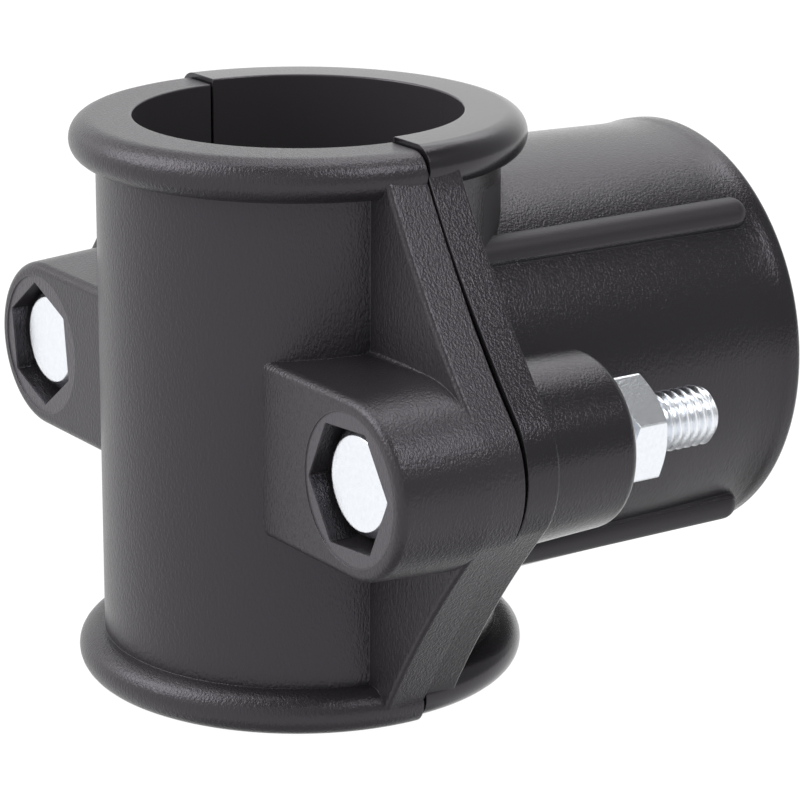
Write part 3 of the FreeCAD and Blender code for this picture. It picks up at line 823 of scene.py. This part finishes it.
def soft_step(material, value, start, end, low=0.0, high=1.0):
    """Low before the start, high after the end."""
    node = material.node_tree.nodes.new("ShaderNodeMapRange")
    numbers = (("From Min", start), ("From Max", end), ("To Min", low), ("To Max", high))
    for name, number in numbers:
        node.inputs[name].default_value = number
    material.node_tree.links.new(value, node.inputs["Value"])
    return node.outputs["Result"]


def between(material, share, low, high):
    """A number that goes from low to high with a share."""
    return soft_step(material, share, 0.0, 1.0, low, high)


def mix_colour(material, factor, first, second):
    """A blend of two colours, each a socket or three numbers."""
    node = material.node_tree.nodes.new("ShaderNodeMix")
    node.data_type = "RGBA"
    links = material.node_tree.links
    for socket, value in (("A", first), ("B", second)):
        if isinstance(value, tuple):
            node.inputs[socket].default_value = (*value, 1.0)
        else:
            links.new(value, node.inputs[socket])
    links.new(factor, node.inputs["Factor"])
    return node.outputs["Result"]


def plastic_material(name, base, roughness, grain):
    """Black polypropylene with a fine leather grain from the mould, greyer in the bore."""
    grain_scale, grain_depth = grain
    material, shader = new_material(name, base, roughness, specular=PLASTIC_SPECULAR)
    shader.inputs["Specular Tint"].default_value = PLASTIC_TINT
    coarse = add_noise(material, grain_scale, 2.0, 0.55, (1, 1, 0.5))
    fine = add_noise(material, FINE_SCALE * grain_scale, 1.0, 0.5, (1, 1, 0.6))
    bevel = add_bevel(material, PLASTIC_BEVEL)
    first = add_bump(material, coarse, 1.0, grain_depth, bevel)
    second = add_bump(material, fine, FINE_STRENGTH, FINE_DEPTH * grain_depth, first)
    material.node_tree.links.new(second, shader.inputs["Normal"])
    in_bore = soft_step(material, radius_about(material, "XY")[0], *BORE_STEP, 1.0, 0.0)
    colour = mix_colour(material, in_bore, base, BORE_GREY)
    return material, shader, colour, (first.node, second.node), in_bore


def finish_plastic(material, shader, colour, bumps, calm):
    """Link the colour, and the strength of the grain."""
    links = material.node_tree.links
    for node in bumps:
        links.new(calm, node.inputs["Strength"])
    links.new(colour, shader.inputs["Base Color"])
    return material


def cap_material():
    """The front half. The floor of the shallow recess round each pocket is painted greyer, as a
    painted sheen for the light its smooth floor reflects.
    """
    material, shader, colour, bumps, in_bore = plastic_material(
        "cap polypropylene", CAP_BLACK, CAP_ROUGHNESS, CAP_GRAIN)
    bolt_radius, split = radius_about(material, "XZ", (BOLT_X * MM, -CAP_DROP * MM))
    near = soft_step(material, bolt_radius, *RECESS_SHEEN_RADIUS_STEP, 1.0, 0.0)
    front = soft_step(material, split.outputs["Y"], *RECESS_SHEEN_FRONT_STEP, 1.0, 0.0)
    # painted sheen on the recess floor round each pocket
    colour = mix_colour(material, product(material, near, front), colour, RECESS_PAINTED_SHEEN_GREY)
    calm = between(material, in_bore, 1.0, BORE_CALM)
    return finish_plastic(material, shader, colour, bumps, calm)


def saddle_material():
    """The rear half, glossier than the front one and painted a darker black as shade. The ribs on
    the branch are smooth and matt.
    """
    # painted shade: the saddle's darker black stands in for the shade on the rear half
    material, shader, colour, bumps, in_bore = plastic_material(
        "saddle polypropylene", SADDLE_PAINTED_SHADE_BLACK, SADDLE_ROUGHNESS, SADDLE_GRAIN)
    branch_radius, split = radius_about(material, "XZ")
    height = math_node(material, "ABSOLUTE", split.outputs["Z"])
    # The ribs are found by where they lie. The wall of the run bore has to be left out
    rib_mask = product(
        material,
        soft_step(material, branch_radius, *RIB_RADIUS_STEP),
        soft_step(material, split.outputs["Y"], *RIB_BACK_STEP),
        soft_step(material, height, *RIB_LOW_STEP),
        soft_step(material, height, *RIB_HIGH_STEP, 1.0, 0.0),
        between(material, in_bore, 1.0, 0.0))
    collar_end = soft_step(material, height, *COLLAR_STEP)
    plain = math_node(material, "MAXIMUM", rib_mask, collar_end)
    calm = product(material, between(material, plain, 1.0, RIB_CALM),
                   between(material, in_bore, 1.0, BORE_CALM))
    roughness = between(material, rib_mask, SADDLE_ROUGHNESS, RIB_ROUGHNESS)
    material.node_tree.links.new(roughness, shader.inputs["Roughness"])
    return finish_plastic(material, shader, colour, bumps, calm)


def zinc_material():
    """Bright zinc plate, slightly mottled, with soft edges."""
    material, shader = new_material("zinc plate", ZINC, ZINC_ROUGHNESS, 1.0)
    nodes, links = material.node_tree.nodes, material.node_tree.links
    grain = add_bump(material, add_noise(material, ZINC_GRAIN_SCALE, 3, 0.7), ZINC_GRAIN_STRENGTH,
                     ZINC_GRAIN_DEPTH, add_bevel(material, ZINC_BEVEL))
    links.new(grain, shader.inputs["Normal"])
    blend = nodes.new("ShaderNodeMix")
    blend.data_type = "RGBA"
    blend.inputs["A"].default_value = ZINC_DULL
    blend.inputs["B"].default_value = ZINC_BRIGHT
    links.new(add_noise(material, ZINC_MOTTLE_SCALE, 3, 0.6), blend.inputs["Factor"])
    links.new(blend.outputs["Result"], shader.inputs["Base Color"])
    return material


# Putting it together

def place(obj, material, body, nodes):
    """Dress a body with a piece, in place of the CAD nodes that it stands for."""
    obj.data.materials.clear()
    obj.data.materials.append(material)
    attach(obj, body)
    if nodes:
        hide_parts(*nodes)
    return obj


cap_plastic, saddle_plastic = cap_material(), saddle_material()
zinc = zinc_material()
rubber = new_material("seal rubber", SEAL_BLACK, SEAL_ROUGHNESS)[0]
place(make_cap(), cap_plastic, "cap", ["clamp_cap"])
place(make_saddle(), saddle_plastic, "saddle", ["saddle_body"])
place(make_branch_thread(), saddle_plastic, "saddle", [])
for side, word in ((1, "right"), (-1, "left")):
    head, shank = make_bolt(side)
    head.name, shank.name = "bolt_head_" + word, "bolt_thread_" + word
    place(head, zinc, "cap", ["bolt_" + word])
    place(shank, zinc, "cap", [])
    nut = make_nut(side)
    nut.name = "hex_nut_" + word
    place(nut, zinc, "nut_" + word, ["nut_" + word])
    washer = make_washer(side)
    washer.name = "flat_washer_" + word
    place(washer, zinc, "saddle", ["washer_" + word])
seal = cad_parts["branch_seal"]
seal.data.materials.clear()
seal.data.materials.append(rubber)

# Floor, light and camera. Sizes are in metres, angles in degrees

FLOOR_Z = -(HALF_HEIGHT + CAP_DROP) * MM
FLOOR_R = 0.9
FLOOR_GREY = (0.03, 0.03, 0.03)
FLOOR_GLOW = 1.0

UP, DOWN = (0.0, 0.0, 1.0), (0.0, 0.0, -1.0)
WALL_WAY = (0.79, 0.61, 0.0)  # the walls darken this way
WALL_EDGES = (-0.1, 0.7)
WALL_BRIGHT = 1.1
WALL_DARK = 0.42
CEILING_EDGES = (0.55, 0.8)
CEILING = 0.13
HORIZON_EDGES = (0.0, 0.12)
GROUND_EDGES = (0.7, 0.9)
GROUND_BRIGHT = 1.12
GROUND_BELOW = 0.34
SOFT_PATCHES = (
    # azimuth, elevation, outer edge and even middle in degrees from the centre, strength
    (138, 12, 34, 14, 0.15),
    (124, 46, 25, 14, 0.12),
    (104, 62, 13, 5, 3.6),
    (150, 78, 27, 12, 3.0),
)
SOFT_BOXES = (
    # name, azimuth, elevation, distance, width, height, radiance
    ("right box", 16, 46, 0.45, 0.2, 0.2, 7.0),
    ("back box", 127, 47, 0.5, 0.25, 0.25, 1.2),
    ("front box", 240, 40, 0.6, 0.45, 0.45, 5.0),
)

CAMERA_AT = (0.26928, -0.17249, 0.09469)
CAMERA_AZIMUTH = 55.576  # from -Y towards +X
CAMERA_ELEVATION = 16.729
CAMERA_ROLL = 0.288
CAMERA_LENS = 152.0
CAMERA_SENSOR = 36.0
CAMERA_CLIP = (0.01, 20)


def towards(azimuth, elevation):
    """Unit vector at an azimuth, from +X towards +Y, and an elevation, both in degrees."""
    a, e = math.radians(azimuth), math.radians(elevation)
    return math.cos(a) * math.cos(e), math.sin(a) * math.cos(e), math.sin(e)


def make_floor():
    """A pale round floor that glows evenly and isn't seen in reflections."""
    material, shader = new_material("floor", FLOOR_GREY, 0.7, specular=0.1)
    shader.inputs["Emission Color"].default_value = (1, 1, 1, 1)
    shader.inputs["Emission Strength"].default_value = FLOOR_GLOW
    corners = np.linspace(0, FULL_TURN, 96, endpoint=False)
    verts = [(FLOOR_R * math.cos(a), FLOOR_R * math.sin(a), FLOOR_Z) for a in corners]
    mesh = bpy.data.meshes.new("floor")
    mesh.from_pydata(verts, [], [tuple(range(len(verts)))])
    floor = bpy.data.objects.new("floor", mesh)
    bpy.context.scene.collection.objects.link(floor)
    mesh.materials.append(material)
    floor.visible_glossy = False


def area_light(name, azimuth, elevation, distance, width, height, radiance):
    """A soft box that faces the object."""
    way = Vector(towards(azimuth, elevation))
    light = bpy.data.lights.new(name, "AREA")
    light.shape = "RECTANGLE"
    light.size, light.size_y = width, height
    light.energy = radiance * math.pi * width * height
    obj = bpy.data.objects.new(name, light)
    obj.location = way * distance
    obj.rotation_euler = way.to_track_quat("Z", "Y").to_euler()
    bpy.context.scene.collection.objects.link(obj)


def make_world():
    """Pale studio: bright walls, a dark one to the right and behind, a pale ground."""
    world = bpy.data.worlds.new("studio")
    bpy.context.scene.world = world
    world.use_nodes = True
    nodes, links = world.node_tree.nodes, world.node_tree.links
    background = nodes["Background"]
    way = nodes.new("ShaderNodeTexCoord").outputs["Generated"]

    def ramp(direction, start, end, low, high):
        dot = nodes.new("ShaderNodeVectorMath")
        dot.operation = "DOT_PRODUCT"
        links.new(way, dot.inputs[0])
        dot.inputs[1].default_value = direction
        step = nodes.new("ShaderNodeMapRange")
        step.interpolation_type = "SMOOTHSTEP"
        numbers = (("From Min", start), ("From Max", end), ("To Min", low), ("To Max", high))
        for name, value in numbers:
            step.inputs[name].default_value = value
        links.new(dot.outputs["Value"], step.inputs["Value"])
        return step.outputs["Result"]

    def mix(factor, first, second):
        node = nodes.new("ShaderNodeMix")
        links.new(factor, node.inputs["Factor"])
        for socket, value in (("A", first), ("B", second)):
            if isinstance(value, float):
                node.inputs[socket].default_value = value
            else:
                links.new(value, node.inputs[socket])
        return node.outputs["Result"]

    def plus(first, second):
        node = nodes.new("ShaderNodeMath")
        node.operation = "ADD"
        links.new(first, node.inputs[0])
        links.new(second, node.inputs[1])
        return node.outputs["Value"]

    glow = ramp(WALL_WAY, *WALL_EDGES, WALL_BRIGHT, WALL_DARK)
    glow = mix(ramp(UP, *CEILING_EDGES, 0.0, 1.0), glow, CEILING)
    for azimuth, elevation, edge, middle, strength in SOFT_PATCHES:
        edges = math.cos(math.radians(edge)), math.cos(math.radians(middle))
        glow = plus(glow, ramp(towards(azimuth, elevation), *edges, 0.0, strength))
    ground = ramp(DOWN, *GROUND_EDGES, GROUND_BRIGHT, GROUND_BELOW)
    glow = mix(ramp(DOWN, *HORIZON_EDGES, 0.0, 1.0), glow, ground)
    links.new(glow, background.inputs["Strength"])
    background.inputs["Color"].default_value = (1, 1, 1, 1)


def make_camera():
    """The photograph's camera, found by fitting measured points."""
    camera = bpy.data.cameras.new("camera")
    camera.lens = CAMERA_LENS
    camera.sensor_width = CAMERA_SENSOR
    camera.clip_start, camera.clip_end = CAMERA_CLIP
    obj = bpy.data.objects.new("camera", camera)
    a, e = math.radians(CAMERA_AZIMUTH), math.radians(CAMERA_ELEVATION)
    back = Vector((math.sin(a) * math.cos(e), -math.cos(a) * math.cos(e), math.sin(e)))
    look = (-back).to_track_quat("-Z", "Y")
    roll = Matrix.Rotation(math.radians(CAMERA_ROLL), 4, "Z")
    obj.matrix_world = Matrix.Translation(CAMERA_AT) @ look.to_matrix().to_4x4() @ roll
    bpy.context.scene.collection.objects.link(obj)
    bpy.context.scene.camera = obj


make_floor()
make_world()
for box in SOFT_BOXES:
    area_light(*box)
make_camera()
bpy.context.scene.view_settings.view_transform = "Standard"
